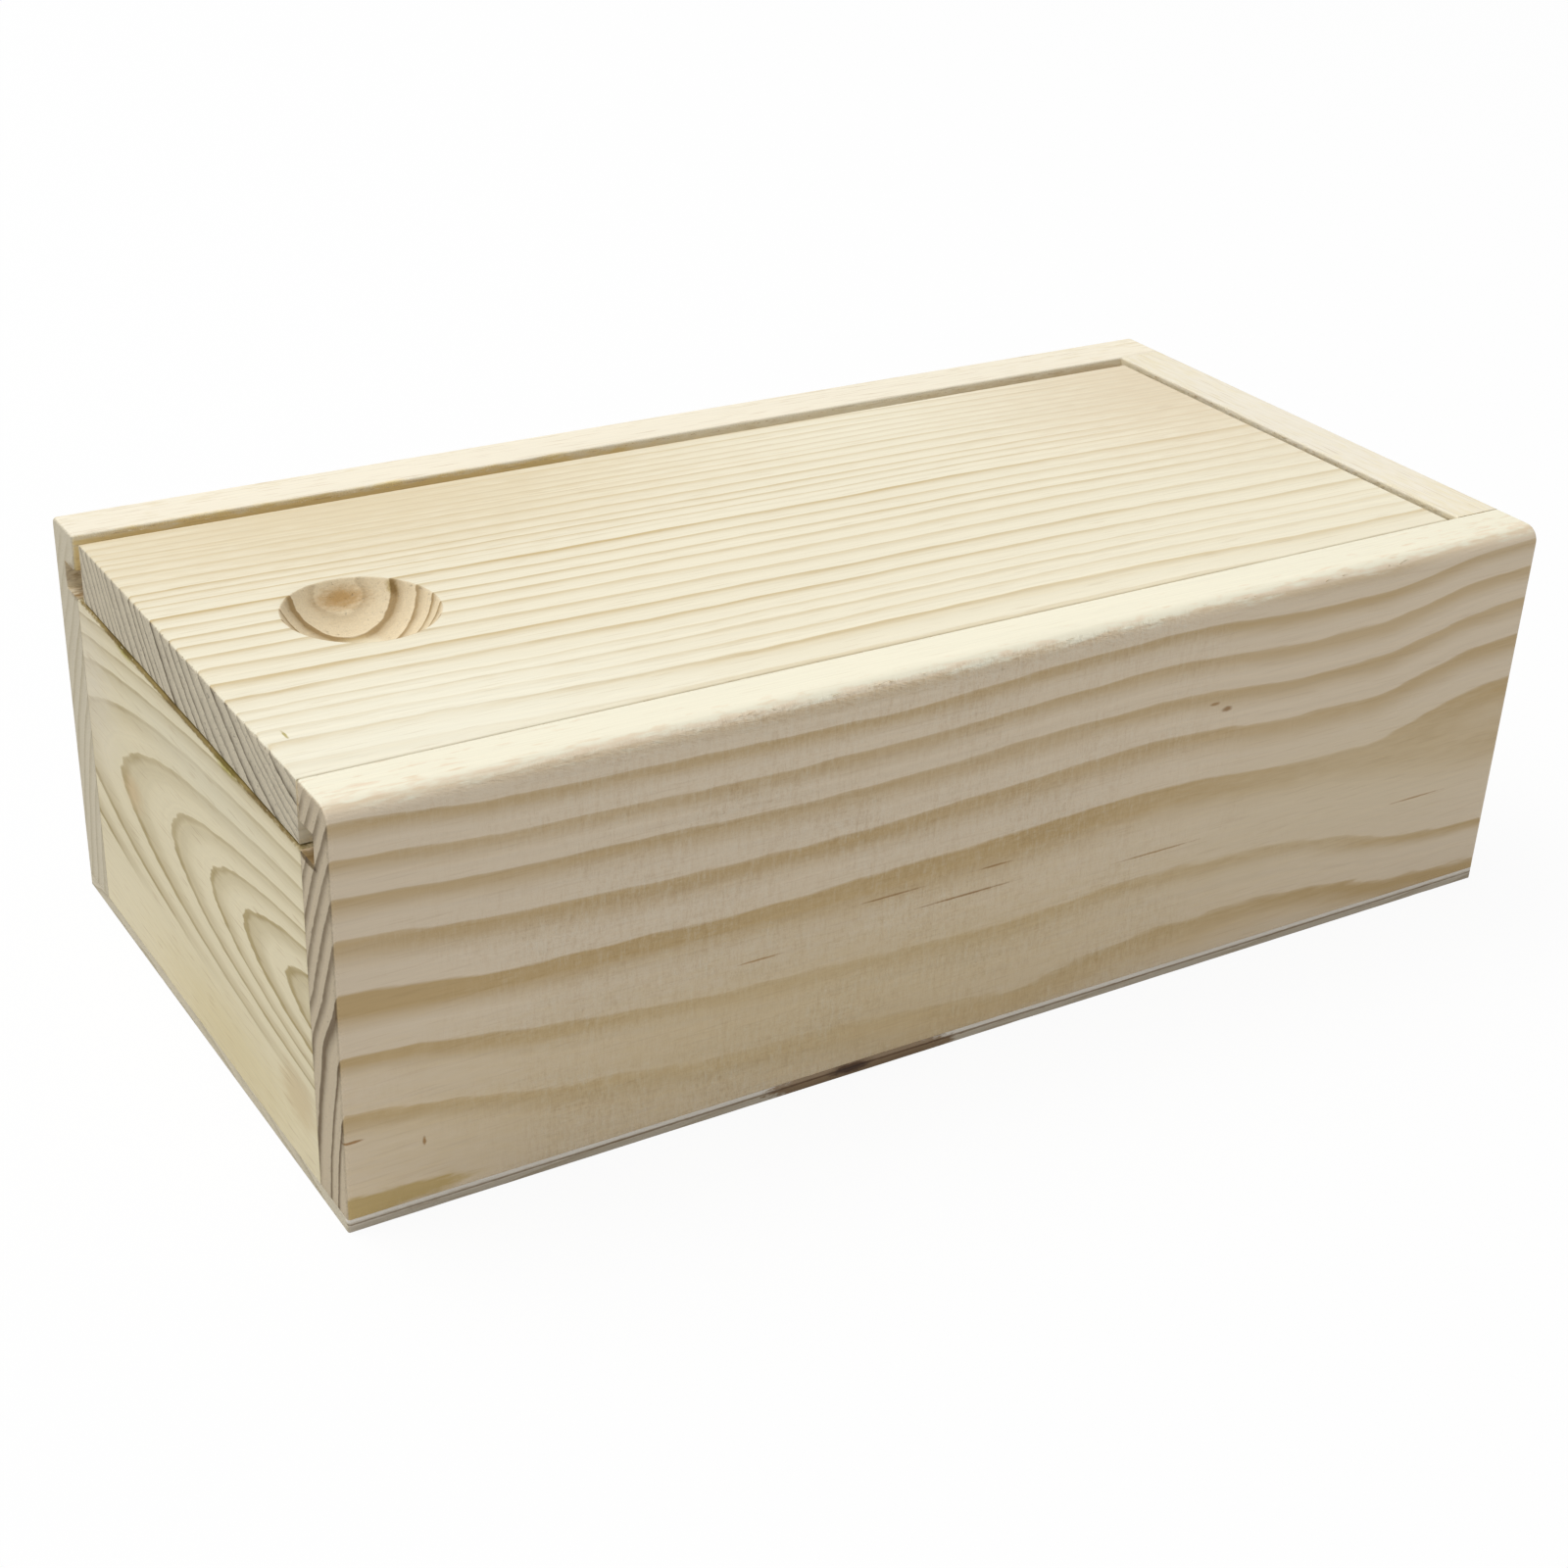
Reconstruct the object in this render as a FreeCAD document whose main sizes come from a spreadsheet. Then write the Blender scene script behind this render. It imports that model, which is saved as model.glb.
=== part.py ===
import FreeCAD, Part
import Sketcher
import os

# A small box of softwood boards with a lid that slides out of its front.
# Millimetres. X is the width, Y the length with the front at -Y, and Z is up from the underside.

doc = FreeCAD.newDocument("SlidingLidBox")

# Driving dimensions
sizes = doc.addObject("Spreadsheet::Sheet", "Sizes")
driving_dimensions = [
    ("box_length", 200, "long walls, end to end"),
    ("box_width", 102, "over both long walls"),
    ("frame_height", 60, "long walls and back wall, without the bottom"),
    ("bottom_thickness", 2, "plywood sheet glued under the frame"),
    ("wall_thickness", 9, "long walls, front wall and back wall"),
    ("groove_height", 4.3, "slot for the lid's tongues"),
    ("groove_depth", 4.5, "how far the slot goes into a wall"),
    ("lid_thickness", 9, "lid board"),
    ("lid_sunk", 0.5, "lid's top below the walls' top"),
    ("lid_lift", 0.2, "running gap under the lid"),
    ("tongue_top_gap", 0.3, "between a tongue and the lip over it"),
    ("tongue_end_gap", 0.5, "how much shorter a tongue is than the groove is deep"),
    ("lid_near_gap", 1.0, "between the lid and the lip at +X"),
    ("lid_far_gap", 2.2, "between the lid and the lip at -X"),
    ("lid_rear_gap", 1.0, "between the lid and the lip at +Y"),
    ("lid_setback", 0.3, "lid's front end behind the front face"),
    ("tongue_setback", 6, "side tongues' front ends behind the lid's front end"),
    ("recess_diameter", 22, "finger recess at the lid's top"),
    ("recess_depth", 6, "finger recess at its middle"),
    ("recess_from_front", 26.9, "lid's front end to the middle of the recess"),
    ("recess_off_middle", 2.05, "recess towards -X from the lid's middle"),
    ("near_edge_round", 2.6, "outer top edge of the long wall at +X"),
    ("far_edge_round", 1.2, "outer top edge of the long wall at -X"),
    ("front_edge_round", 0.5, "outer edges of the front end"),
    ("rear_edge_round", 1.0, "outer edges of the rear end"),
    ("sanded_edge", 0.35, "other edges that a hand meets"),
]
for row, (alias, value, note) in enumerate(driving_dimensions, start=1):
    sizes.set(f"A{row}", str(value))
    sizes.set(f"B{row}", note)
    sizes.setAlias(f"A{row}", alias)
doc.recompute()

# Sizes that follow from the driving ones, as expressions on the sheet
inner_width = "(Sizes.box_width - 2 * Sizes.wall_thickness)"
inner_end = "(Sizes.box_length / 2 - Sizes.wall_thickness)"
lid_seat_depth = "(Sizes.lid_thickness + Sizes.lid_sunk + Sizes.lid_lift)"
groove_floor = f"(Sizes.frame_height - {lid_seat_depth})"
tongue_thickness = "(Sizes.groove_height - Sizes.lid_lift - Sizes.tongue_top_gap)"
tongue_width = "(Sizes.groove_depth - Sizes.tongue_end_gap)"
lid_body_width = f"({inner_width} - Sizes.lid_near_gap - Sizes.lid_far_gap)"
lid_width = f"({lid_body_width} + 2 * {tongue_width})"
lid_front = "(Sizes.box_length / 2 - Sizes.lid_setback)"
lid_length = f"({lid_front} + {inner_end} - Sizes.lid_rear_gap + {tongue_width})"
ball_radius = "(((Sizes.recess_diameter / 2)^2 + Sizes.recess_depth^2) / (2 * Sizes.recess_depth))"


def new_body(label):
    body = doc.addObject("PartDesign::Body", label)
    body.Label = label
    return body


def place(body, **position):
    for axis, distance in position.items():
        body.setExpression(f"Placement.Base.{axis}", distance)


def attach(feature, body, plane, **offset):
    """Puts a sketch or a primitive on one of its body's own origin planes."""
    origin_plane = [item for item in body.Origin.OriginFeatures if item.Role == plane][0]
    feature.AttachmentSupport = (origin_plane, [""])
    feature.MapMode = "FlatFace"
    for axis, distance in offset.items():
        feature.setExpression(f"AttachmentOffset.Base.{axis}", distance)


def rectangle(body, name, plane, width, height, **corner):
    """Sketches a rectangle whose lower left corner is at the given offset from the origin."""
    sketch = body.newObject("Sketcher::SketchObject", name)
    attach(sketch, body, plane, **corner)
    corners = [FreeCAD.Vector(*point) for point in ((0, 0), (9, 0), (9, 5), (0, 5))]
    for side in range(4):
        sketch.addGeometry(Part.LineSegment(corners[side], corners[(side + 1) % 4]))
    for side in range(4):
        sketch.addConstraint(Sketcher.Constraint("Coincident", side, 2, (side + 1) % 4, 1))
        sketch.addConstraint(Sketcher.Constraint(("Horizontal", "Vertical")[side % 2], side))
    sketch.addConstraint(Sketcher.Constraint("Coincident", 0, 1, -1, 1))
    for side, size_name, size in ((0, "across", width), (1, "up", height)):
        constraint = sketch.addConstraint(Sketcher.Constraint("Distance", side, 5 + side))
        sketch.renameConstraint(constraint, size_name)
        sketch.setExpression(f"Constraints.{size_name}", size)
    return sketch


def board(body, width, length, thickness, **corner):
    """Pads the blank that a piece is cut from, upwards from the body's XY plane."""
    blank = body.newObject("PartDesign::Pad", body.Label + "_blank")
    blank.Profile = rectangle(body, body.Label + "_outline", "XY_Plane", width, length, **corner)
    blank.setExpression("Length", thickness)
    doc.recompute()


def check_cut(body, cut, volume_before):
    doc.recompute()
    if not cut.Shape.Volume < volume_before - 1:
        raise RuntimeError(f"{body.Label}: {cut.Name} removes nothing")


def rebate(body, name, plane, width, height, **corner):
    """Cuts a rectangular channel from end to end of the piece, both ways from the sketch plane."""
    volume_before = body.Tip.Shape.Volume
    channel = body.newObject("PartDesign::Pocket", f"{body.Label}_{name}")
    channel.Profile = rectangle(body, f"{body.Label}_{name}_section", plane, width, height, **corner)
    channel.Type = "ThroughAll"
    channel.SideType = "Symmetric"
    check_cut(body, channel, volume_before)


def round_edges(body, name, radius, chosen):
    """Rounds the edges for which chosen(middle, box) holds, and those that run on from them smoothly."""
    base = body.Tip
    box = base.Shape.optimalBoundingBox(False, False)
    edges = [f"Edge{number}" for number, edge in enumerate(base.Shape.Edges, start=1)
             if chosen(edge.CenterOfMass, box)]
    if not edges:
        raise RuntimeError(f"{body.Label}: no edge found for {name}")
    fillet = body.newObject("PartDesign::Fillet", f"{body.Label}_{name}")
    fillet.Base = (base, edges)
    fillet.setExpression("Radius", radius)
    doc.recompute()


def same(first, second):
    return abs(first - second) < 1e-6


def build_side(label, turn, outer_face, long_edge_round, front):
    """Long wall. Its own X runs from the outer face inwards, so that one drawing serves both sides.

    front is -1 or 1, the end of the body's own Y axis that comes to the front of the box.
    """
    body = new_body(label)
    body.Placement.Rotation = FreeCAD.Rotation(FreeCAD.Vector(0, 0, 1), turn)
    place(body, x=outer_face, z="Sizes.bottom_thickness")
    board(body, "Sizes.wall_thickness", "Sizes.box_length", "Sizes.frame_height", y="-Sizes.box_length / 2")
    rebate(body, "groove", "XZ_Plane", "Sizes.groove_depth", "Sizes.groove_height",
           x="Sizes.wall_thickness - Sizes.groove_depth", y=groove_floor)
    round_edges(body, "long_edge", long_edge_round,
                lambda middle, box: same(middle.x, box.XMin) and same(middle.z, box.ZMax))
    round_edges(body, "lip_edge", "Sizes.sanded_edge",
                lambda middle, box: same(middle.x, box.XMax) and same(middle.z, box.ZMax))
    for name, radius, end in (("front_edge", "Sizes.front_edge_round", front),
                              ("rear_edge", "Sizes.rear_edge_round", -front)):
        round_edges(body, name, radius,
                    lambda middle, box: same(middle.x, box.XMin) and same(middle.y, end * box.YMax))
    return body


def build_front():
    """Front wall, as high as the floor of the grooves so that the lid passes over it."""
    body = new_body("front_wall")
    place(body, y="-Sizes.box_length / 2", z="Sizes.bottom_thickness")
    board(body, inner_width, "Sizes.wall_thickness", groove_floor, x=f"-{inner_width} / 2")
    round_edges(body, "top_edge", "Sizes.sanded_edge",
                lambda middle, box: same(middle.y, box.YMin) and same(middle.z, box.ZMax))
    return body


def build_back():
    """Back wall, grooved inside for the lid's rear tongue."""
    body = new_body("back_wall")
    place(body, y=inner_end, z="Sizes.bottom_thickness")
    board(body, inner_width, "Sizes.wall_thickness", "Sizes.frame_height", x=f"-{inner_width} / 2")
    rebate(body, "groove", "YZ_Plane", "Sizes.groove_depth", "Sizes.groove_height", y=groove_floor)
    round_edges(body, "lip_edge", "Sizes.sanded_edge",
                lambda middle, box: same(middle.y, box.YMin) and same(middle.z, box.ZMax))
    round_edges(body, "rear_edge", "Sizes.rear_edge_round",
                lambda middle, box: same(middle.y, box.YMax) and same(middle.z, box.ZMax))
    return body


def build_bottom():
    """Plywood sheet under the whole frame."""
    body = new_body("bottom_panel")
    board(body, "Sizes.box_width", "Sizes.box_length", "Sizes.bottom_thickness",
          x="-Sizes.box_width / 2", y="-Sizes.box_length / 2")
    for name, radius, end in (("front_corners", "Sizes.front_edge_round", -1),
                              ("rear_corners", "Sizes.rear_edge_round", 1)):
        round_edges(body, name, radius,
                    lambda middle, box: same(abs(middle.x), box.XMax) and same(middle.y, end * box.YMax))
    return body


def build_lid():
    """Lid board. Rebates from above leave a tongue along both long edges and the rear."""
    body = new_body("lid")
    place(body, x="(Sizes.lid_far_gap - Sizes.lid_near_gap) / 2",
          y="Sizes.lid_setback - Sizes.box_length / 2",
          z=f"Sizes.bottom_thickness + {groove_floor} + Sizes.lid_lift")
    board(body, lid_width, lid_length, "Sizes.lid_thickness", x=f"-{lid_width} / 2")
    rebate_height = f"Sizes.lid_thickness - {tongue_thickness}"
    for name, plane, edge in (("far_rebate", "XZ_Plane", f"-{lid_width} / 2"),
                              ("near_rebate", "XZ_Plane", f"{lid_body_width} / 2"),
                              ("rear_rebate", "YZ_Plane", f"{lid_length} - {tongue_width}")):
        rebate(body, name, plane, tongue_width, rebate_height, x=edge, y=tongue_thickness)
    for name, edge in (("far_notch", f"-{lid_width} / 2"), ("near_notch", f"{lid_body_width} / 2")):
        rebate(body, name, "XY_Plane", tongue_width, "Sizes.tongue_setback", x=edge)
    volume_before = body.Tip.Shape.Volume
    recess = body.newObject("PartDesign::SubtractiveSphere", "lid_recess")
    attach(recess, body, "XY_Plane", x="-Sizes.recess_off_middle", y="Sizes.recess_from_front",
           z=f"Sizes.lid_thickness - Sizes.recess_depth + {ball_radius}")
    recess.setExpression("Radius", ball_radius)
    check_cut(body, recess, volume_before)
    round_edges(body, "top_edges", "Sizes.sanded_edge", lambda middle, box: same(middle.z, box.ZMax))
    return body


pieces = [
    build_side("side_left", 0, "-Sizes.box_width / 2", "Sizes.far_edge_round", front=-1),
    build_side("side_right", 180, "Sizes.box_width / 2", "Sizes.near_edge_round", front=1),
    build_front(),
    build_back(),
    build_bottom(),
    build_lid(),
]
doc.recompute()

for item in doc.Objects:
    if "Invalid" in item.State or "Error" in item.State:
        raise RuntimeError(f"{item.Label} did not recompute: {item.State}")
for piece in pieces:
    if piece.Shape.isNull() or not piece.Shape.isValid() or len(piece.Shape.Solids) != 1:
        raise RuntimeError(f"{piece.Label} is not one valid solid")

os.makedirs("parts", exist_ok=True)
for piece in pieces:
    piece.Shape.exportStep(os.path.join("parts", piece.Label + ".step"))
    box = piece.Shape.optimalBoundingBox(False, False)
    print(f"{piece.Label}: {box.XLength:.2f} x {box.YLength:.2f} x {box.ZLength:.2f} mm,"
          f" x {box.XMin:.2f} y {box.YMin:.2f} z {box.ZMin:.2f}, {piece.Shape.Volume / 1000:.1f} cm3")
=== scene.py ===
import math

import bmesh
import bpy
from mathutils import Matrix, Vector, noise


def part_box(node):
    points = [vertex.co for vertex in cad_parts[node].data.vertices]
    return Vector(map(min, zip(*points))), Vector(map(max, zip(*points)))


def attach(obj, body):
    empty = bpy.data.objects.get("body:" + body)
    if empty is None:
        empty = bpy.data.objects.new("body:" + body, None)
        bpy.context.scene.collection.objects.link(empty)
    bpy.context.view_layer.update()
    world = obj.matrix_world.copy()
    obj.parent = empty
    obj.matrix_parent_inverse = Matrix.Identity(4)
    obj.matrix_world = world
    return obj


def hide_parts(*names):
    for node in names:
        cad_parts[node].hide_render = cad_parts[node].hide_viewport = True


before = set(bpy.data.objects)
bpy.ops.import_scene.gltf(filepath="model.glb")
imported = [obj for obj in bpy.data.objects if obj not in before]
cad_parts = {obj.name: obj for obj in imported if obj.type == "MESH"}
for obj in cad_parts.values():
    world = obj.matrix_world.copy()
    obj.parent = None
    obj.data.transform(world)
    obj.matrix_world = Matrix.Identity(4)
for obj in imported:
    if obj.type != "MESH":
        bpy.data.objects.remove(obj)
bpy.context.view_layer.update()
scene = bpy.context.scene
mm = 0.001
print("frame loaded:", ", ".join(sorted(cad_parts)))

# camera, fitted to the corners of the box in the photo
cameraSetup = {
    "aim": (0, 0, 31 * mm),
    "azimuth": 57.07,
    "elevation": 29.93,
    "roll": 2.713,
    "distance": 397.78 * mm,
    "slideRight": 3.54 * mm,
    "slideUp": 27.22 * mm,
    "lens": 58.54,
    "shiftUp": 0.0625,
    "nearest": 10 * mm,
    "farthest": 20,
}


def addCamera(setup):
    turn = math.radians(setup["azimuth"])
    tilt = math.radians(setup["elevation"])
    roll = math.radians(setup["roll"])
    back = Vector((math.sin(turn) * math.cos(tilt), -math.cos(turn) * math.cos(tilt), math.sin(tilt)))
    levelRight = Vector((0, 0, 1)).cross(back).normalized()
    levelUp = back.cross(levelRight)
    right = levelRight * math.cos(roll) + levelUp * math.sin(roll)
    up = levelUp * math.cos(roll) - levelRight * math.sin(roll)
    lensData = bpy.data.cameras.new("photoCamera")
    lensData.lens = setup["lens"]
    lensData.shift_y = setup["shiftUp"]
    lensData.clip_start = setup["nearest"]
    lensData.clip_end = setup["farthest"]
    camera = bpy.data.objects.new("photoCamera", lensData)
    place = Vector(setup["aim"]) + back * setup["distance"]
    place -= right * setup["slideRight"] + up * setup["slideUp"]
    camera.matrix_world = Matrix.Translation(place) @ Matrix((right, up, back)).transposed().to_4x4()
    scene.collection.objects.link(camera)
    scene.camera = camera


addCamera(cameraSetup)
scene.view_settings.view_transform = "Standard"


def srgb(red, green, blue):  # 0 to 255 as seen on screen, to the shader's own scale
    def linear(value):
        value /= 255
        return value / 12.92 if value < 0.04045 else ((value + 0.055) / 1.055) ** 2.4
    return (linear(red), linear(green), linear(blue), 1)


class Wire:  # one socket; sums and products on it add Math nodes
    def __init__(self, recipe, socket):
        self.recipe = recipe
        self.socket = socket

    def calc(self, operation, *others):
        return self.recipe.maths(operation, self, *others)

    def __add__(self, other):
        return self.calc("ADD", other)

    def __radd__(self, other):
        return self.recipe.maths("ADD", other, self)

    def __sub__(self, other):
        return self.calc("SUBTRACT", other)

    def __rsub__(self, other):
        return self.recipe.maths("SUBTRACT", other, self)

    def __mul__(self, other):
        return self.calc("MULTIPLY", other)

    def __truediv__(self, other):
        return self.calc("DIVIDE", other)

    def __abs__(self):
        return self.calc("ABSOLUTE")


class Recipe:  # one node tree, for a material or for geometry
    def __init__(self, tree):
        self.tree = tree

    def node(self, kind, settings=None, sockets=None, out=0):
        made = self.tree.nodes.new(kind)
        for name, value in (settings or {}).items():
            if name == "stops":
                self.setStops(made.color_ramp, value)
            elif name == "blend":
                made.color_ramp.interpolation = value
            else:
                setattr(made, name, value)
        for name, value in (sockets or {}).items():
            if isinstance(value, Wire):
                self.tree.links.new(value.socket, made.inputs[name])
            else:
                made.inputs[name].default_value = value
        if isinstance(out, tuple):
            return [Wire(self, made.outputs[one]) for one in out]
        return Wire(self, made.outputs[out]) if made.outputs else made

    def maths(self, operation, *parts):
        return self.node("ShaderNodeMath", {"operation": operation}, dict(enumerate(parts)))

    def setStops(self, ramp, stops):
        while len(ramp.elements) < len(stops):
            ramp.elements.new(1)
        for element, (position, value) in zip(ramp.elements, stops):
            element.position = position
            element.color = (value, value, value, 1)

    def between(self, value, low, high):  # 0 at low, 1 at high, eased
        return self.node("ShaderNodeMapRange", {"interpolation_type": "SMOOTHSTEP"},
                         {"Value": value, "From Min": low, "From Max": high})

    def follow(self, value, points, blend="CARDINAL"):  # a curve through (place, level) points
        low, high = points[0][0], points[-1][0]
        least = min(level for place, level in points)
        most = max(level for place, level in points)
        stops = [((place - low) / (high - low), (level - least) / (most - least)) for place, level in points]
        way = (value - low) / (high - low)
        share = self.node("ShaderNodeValToRGB", {"blend": blend, "stops": stops}, {0: way})
        return share * (most - least) + least

    def mix(self, factor, first, second, blend="MIX"):
        return self.node("ShaderNodeMix", {"data_type": "RGBA", "blend_type": blend},
                         {0: factor, 6: first, 7: second}, out=2)

    def vector(self, x, y, z):
        return self.node("ShaderNodeCombineXYZ", {}, {0: x, 1: y, 2: z})

    def scaled(self, value, amount):
        return self.node("ShaderNodeVectorMath", {"operation": "SCALE"}, {0: value, "Scale": amount})

    def noise(self, where, detail=2.0, rough=0.5):
        return self.node("ShaderNodeTexNoise", {},
                         {"Vector": where, "Scale": 1.0, "Detail": detail, "Roughness": rough})

    def drift(self, place, detail=1.0, rough=0.5):  # one value that wanders as the place changes
        return self.node("ShaderNodeTexNoise", {"noise_dimensions": "1D"},
                         {"W": place, "Scale": 1.0, "Detail": detail, "Roughness": rough})

    def spotMask(self, spot, centre, size, soft, ragged):  # 1 inside an ellipsoid, 0 outside
        offset = self.node("ShaderNodeVectorMath", {"operation": "SUBTRACT"}, {0: spot, 1: centre})
        shrunk = self.node("ShaderNodeVectorMath", {"operation": "DIVIDE"}, {0: offset, 1: size})
        reach = self.node("ShaderNodeVectorMath", {"operation": "LENGTH"}, {0: shrunk}, out=1)
        return 1 - self.between(reach + (ragged - 0.5) * 0.6, 1 - soft, 1)


def emptyMaterial(name):
    material = bpy.data.materials.new(name)
    material.use_nodes = True
    material.node_tree.nodes.clear()
    return material, Recipe(material.node_tree)


def tintAndLight(at, size, colour, strength=1.0, soft=0.7):  # a place where another colour is mixed in, for the wood's own tone and for painted light
    return {"at": at, "size": size, "colour": colour, "strength": strength, "soft": soft, "blend": "MIX"}


def streak(at, size, colour, soft=0.7):  # a place that darkens the wood under it, for marks in the wood and for painted shade
    return {"at": at, "size": size, "colour": colour, "strength": 1.0, "soft": soft, "blend": "MULTIPLY"}


def addLayer(recipe, colour, spot, ragged, layer):
    mask = recipe.spotMask(spot, layer["at"], layer["size"], layer["soft"], ragged)
    return recipe.mix(mask * layer["strength"], colour, srgb(*layer["colour"]), layer["blend"])


# marks in the wood: repeats per millimetre along the grain, sideways and upward
markKinds = {
    "warp": {"along": 0.02, "side": 0.09, "up": 0.09, "detail": 1.0, "seeded": "side"},
    "ripple": {"along": 0.11, "side": 0.8, "up": 0.8, "seeded": "up"},
    "waver": {"along": 0.03, "side": 0.35, "up": 0.35, "detail": 1.0, "seeded": "up"},
    "fibre": {"along": 0.06, "side": 2.4, "up": 2.4, "detail": 3.0, "rough": 0.6, "seeded": "up"},
    "cloud": {"along": 0.014, "side": 0.05, "up": 0.05, "seeded": "side"},
    "pore": {"along": 0.14, "side": 3.4, "up": 3.4, "detail": 0.0, "seeded": "side"},
    "tintAndLightEdge": {"along": 0.25, "side": 1.1, "up": 1.1, "detail": 3.0},
    "streakEdge": {"along": 0.9, "side": 2.5, "up": 2.5},
    "sawUpright": {"along": 2.0, "side": 0.5, "up": 0.45, "rough": 0.75},
    "sawCrossing": {"along": 0.9, "side": 0.5, "up": 2.8, "rough": 0.75},
    "torn": {"along": 0.05, "side": 1.0, "up": 0.09},
    "scuff": {"along": 0.7, "side": 0.5, "up": 3.2, "slant": 0.9, "rough": 0.75},
}
wanderScale = 0.012
fineScale = {"ring": 2.4, "along": 0.01}
gritScale = 4.0
pitScale = 1.7

# relief of each kind of mark, in millimetres
relief = {"fibre": 0.035, "ring": 0.02, "pore": 0.03, "grit": 0.08, "pit": 0.1, "fine": 0.02, "edge": 0.12}

poreColour = (186, 158, 114)
sawColours = {"shaded": (202, 176, 140), "lit": (255, 246, 226)}

# how dark a ring is from its inner edge, 0, to its outer edge, 1
springToSummer = ((0.0, 0.0), (0.05, 0.0), (0.5, 0.12), (0.8, 0.6), (0.93, 1.0), (0.97, 0.9), (1.0, 0.0))

# what a board has where its own look doesn't say
usualLook = {
    "profile": springToSummer, "waver": 0.6, "shifts": [], "fades": [], "patches": [], "streaks": [],
    "fine": 0.12, "grit": 0.35, "pits": 0.25, "edgeWear": 0.3, "edgeReach": 0.9,
}


def markField(recipe, kind, grain):
    mark = markKinds[kind]
    place = {way: grain[way] * mark[way] for way in ("along", "side", "up")}
    if "seeded" in mark:
        place[mark["seeded"]] = place[mark["seeded"]] + grain["seed"]
    if "slant" in mark:
        place["up"] = place["up"] + grain["along"] * mark["slant"]
    where = recipe.vector(place["along"], place["side"], place["up"])
    return recipe.noise(where, mark.get("detail", 2.0), mark.get("rough", 0.5))


def ringRadius(recipe, look, grain):  # distance from a pith that leans and wanders along the grain
    along = grain["along"]
    pithSide = along * look["lean"][0] + look["pith"][0]
    pithDepth = along * look["lean"][1] + look["pith"][1]
    if "wander" in look:
        slow = along * wanderScale
        pithSide = pithSide + (recipe.drift(slow + grain["seed"]) - 0.5) * look["wander"]
        pithDepth = pithDepth + (recipe.drift(slow + (grain["seed"] + 40)) - 0.5) * look["wander"]
    offSide = grain["side"] - pithSide
    offDepth = grain["up"] - pithDepth
    radius = (offSide * offSide + offDepth * offDepth).calc("SQRT")
    warp = (markField(recipe, "warp", grain) - 0.5) * look["warp"]
    ripple = (markField(recipe, "ripple", grain) - 0.5) * look["ripple"]
    radius = radius + warp + ripple
    for shift in look["shifts"]:  # how the rings rise and dip along the board
        share = recipe.between(grain["up"], *shift["height"])
        radius = radius + recipe.follow(along, shift["points"]) * share
    return radius


def ringDarkness(recipe, look, radius, grain):  # 0 in spring wood, 1 in summer wood
    edges = [(look["firstRing"], 0)]
    for width in look["ringWidths"]:
        edges.append((edges[-1][0] + width, len(edges)))
    phase = recipe.follow(radius, edges, "LINEAR")
    ring = phase.calc("FLOOR")
    dark = recipe.follow(phase.calc("FRACT"), look["profile"], "LINEAR")
    if "tighter" in look:  # narrower dark bands low on the board
        low = recipe.between(grain["up"], *look["tighter"]["height"])
        dark = dark.calc("POWER", 1 + low * look["tighter"]["amount"])
    if "ringTones" in look:  # how strong each ring's dark edge is, inner to outer
        tone = recipe.follow(ring + 0.5, list(enumerate(look["ringTones"])), "CONSTANT")
    else:
        tone = recipe.node("ShaderNodeTexWhiteNoise", {"noise_dimensions": "1D"},
                           {"W": ring + (grain["seed"] + 0.5)})
        tone = tone * (1 - look["faintest"]) + look["faintest"]
    waver = markField(recipe, "waver", grain)
    dark = dark * tone * (1 + (waver - 0.5) * look["waver"])
    for fade in look["fades"]:
        dark = dark * recipe.follow(grain[fade["way"]], fade["points"], "EASE")
    return dark


def sawMarks(recipe, saw, grain, normals):  # fuzz across one face, and torn fibres on its rounded top edge
    sawnFace = recipe.between(abs(normals[saw["face"]]), 0.35, 0.8)
    upright = markField(recipe, "sawUpright", grain)
    crossing = markField(recipe, "sawCrossing", grain)
    where = recipe.follow(grain["along"], saw["where"])
    torn = recipe.between(markField(recipe, "torn", grain) + where, 0.75, 1.6)
    cut = (upright * 0.65 + crossing * 0.35 - 0.5) * torn * sawnFace
    scuff = markField(recipe, "scuff", grain)
    under, over = saw["edge"]
    band = recipe.between(grain["up"], *under) * recipe.between(grain["up"], *over)
    return cut + (scuff - 0.46) * band * where * saw["scuff"]


def edgeMask(recipe, places, corners, grit, reach):  # 1 on the board's edges, 0 a little way in
    low, high = corners
    nearest = []
    for value, first, last in zip(places, low, high):
        nearest.append((value - first).calc("MINIMUM", last - value))
    smaller = nearest[0].calc("MINIMUM", nearest[1])
    larger = nearest[0].calc("MAXIMUM", nearest[1])
    middle = smaller.calc("MAXIMUM", larger.calc("MINIMUM", nearest[2]))
    return 1 - recipe.between(middle - grit * 0.5, 0.0, reach)


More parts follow.
